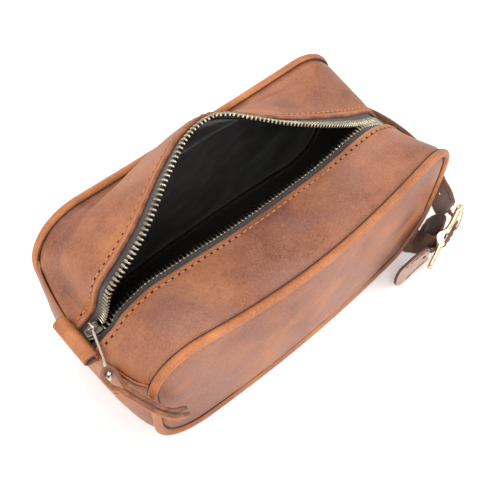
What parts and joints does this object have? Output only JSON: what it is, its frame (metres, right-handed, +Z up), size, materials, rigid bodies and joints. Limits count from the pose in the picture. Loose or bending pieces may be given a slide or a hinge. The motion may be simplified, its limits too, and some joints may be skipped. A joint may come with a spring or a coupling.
{
  "type": "toiletry bag",
  "caption": "Leather toiletry bag with corded seams, a zipped top that opens wide, a rolled end tab and a buckled hanging handle at one end.",
  "frame": {"origin": "centre of the footprint, on the floor plane under the bag", "axes": "+X along the bag towards the handle end, -Y towards the front panel, +Z up out of the zipped top"},
  "size_m": [0.2786, 0.1493, 0.1596],
  "materials": {
    "leather": "waxed",
    "piping": "waxed",
    "tab": "waxed",
    "strap": "waxed",
    "cord": "matte",
    "lining": "matte",
    "tape": "matte",
    "brass": "antique",
    "gold": "satin",
    "steel": "satin"
  },
  "bodies": {
    "shell": {"front_panel": "leather", "back_panel": "leather", "front_piping": "piping", "front_piping_cord": "cord", "back_piping": "piping", "back_piping_cord": "cord", "bottom_end_gusset": "leather", "lining_front": "lining", "lining_back": "lining", "lining_gusset": "lining", "end_tab": "tab"},
    "front_flap": {"top_strip_front": "leather", "zip_tape_front": "tape", "zip_teeth_front": "brass", "zip_stop_front": "brass", "lining_top_front": "lining"},
    "back_flap": {"top_strip_back": "leather", "zip_tape_back": "tape", "zip_teeth_back": "brass", "zip_stop_back": "brass", "lining_top_back": "lining"},
    "slider": {"zip_slider": "brass"},
    "pull_bar": {"pull_bar": "steel"},
    "pull_leather": {"pull_leather": "piping"},
    "handle": {"handle_strap": "strap", "buckle_strap": "strap"},
    "buckle": {"buckle_frame": "gold"},
    "prong": {"buckle_prong": "gold"}
  },
  "joints": [
    {"name": "zip_slide", "type": "slide", "parent": "shell", "child": "slider", "axis": [0.9985, 0, 0.0555], "range_m": [0, 0.213]},
    {"name": "back_flap_close", "type": "hinge", "parent": "shell", "child": "back_flap", "pos_m": [0, 0.0545, 0.1085], "axis": [1, 0, 0], "range_deg": [0, 72.5], "deforming": ["top_strip_back", "zip_tape_back", "zip_teeth_back", "zip_stop_back", "lining_top_back"]},
    {"name": "front_flap_close", "type": "hinge", "parent": "shell", "child": "front_flap", "pos_m": [0, -0.059, 0.104], "axis": [-1, 0, 0], "range_deg": [0, 11], "deforming": ["top_strip_front", "zip_tape_front", "zip_teeth_front", "zip_stop_front", "lining_top_front"]},
    {"name": "pull_bar_swing", "type": "hinge", "parent": "slider", "child": "pull_bar", "pos_m": [-0.12176, -0.005, 0.09224], "axis": [0.9985, 0, 0.0555], "range_deg": [-22.5, 0]},
    {"name": "pull_leather_swing", "type": "hinge", "parent": "pull_bar", "child": "pull_leather", "pos_m": [-0.1306, -0.0324, 0.0876], "axis": [0.0357, 0.1557, -0.9872], "range_deg": [0, 60], "deforming": ["pull_leather"]},
    {"name": "handle_swing", "type": "hinge", "parent": "shell", "child": "handle", "pos_m": [0.1072, -0.0584, 0.0096], "axis": [0.1467, 0.924, 0.3532], "range_deg": [-1, 38], "deforming": ["handle_strap", "buckle_strap"]},
    {"name": "buckle_tilt", "type": "hinge", "parent": "handle", "child": "buckle", "pos_m": [0.114, -0.0752, 0.0286], "axis": [0.5782, 0.2071, -0.7892], "range_deg": [-2.5, 2.5]},
    {"name": "prong_swing", "type": "hinge", "parent": "buckle", "child": "prong", "pos_m": [0.114, -0.0752, 0.0286], "axis": [0.5782, 0.2071, -0.7892], "range_deg": [0, 12]}
  ],
  "couplings": [
    {"joint": "back_flap_close", "follows": "zip_slide", "rad_per_m": 5.9401},
    {"joint": "front_flap_close", "follows": "zip_slide", "rad_per_m": 0.90125},
    {"joint": "pull_bar_swing", "follows": "zip_slide", "rad_per_m": -1.8027}
  ]
}
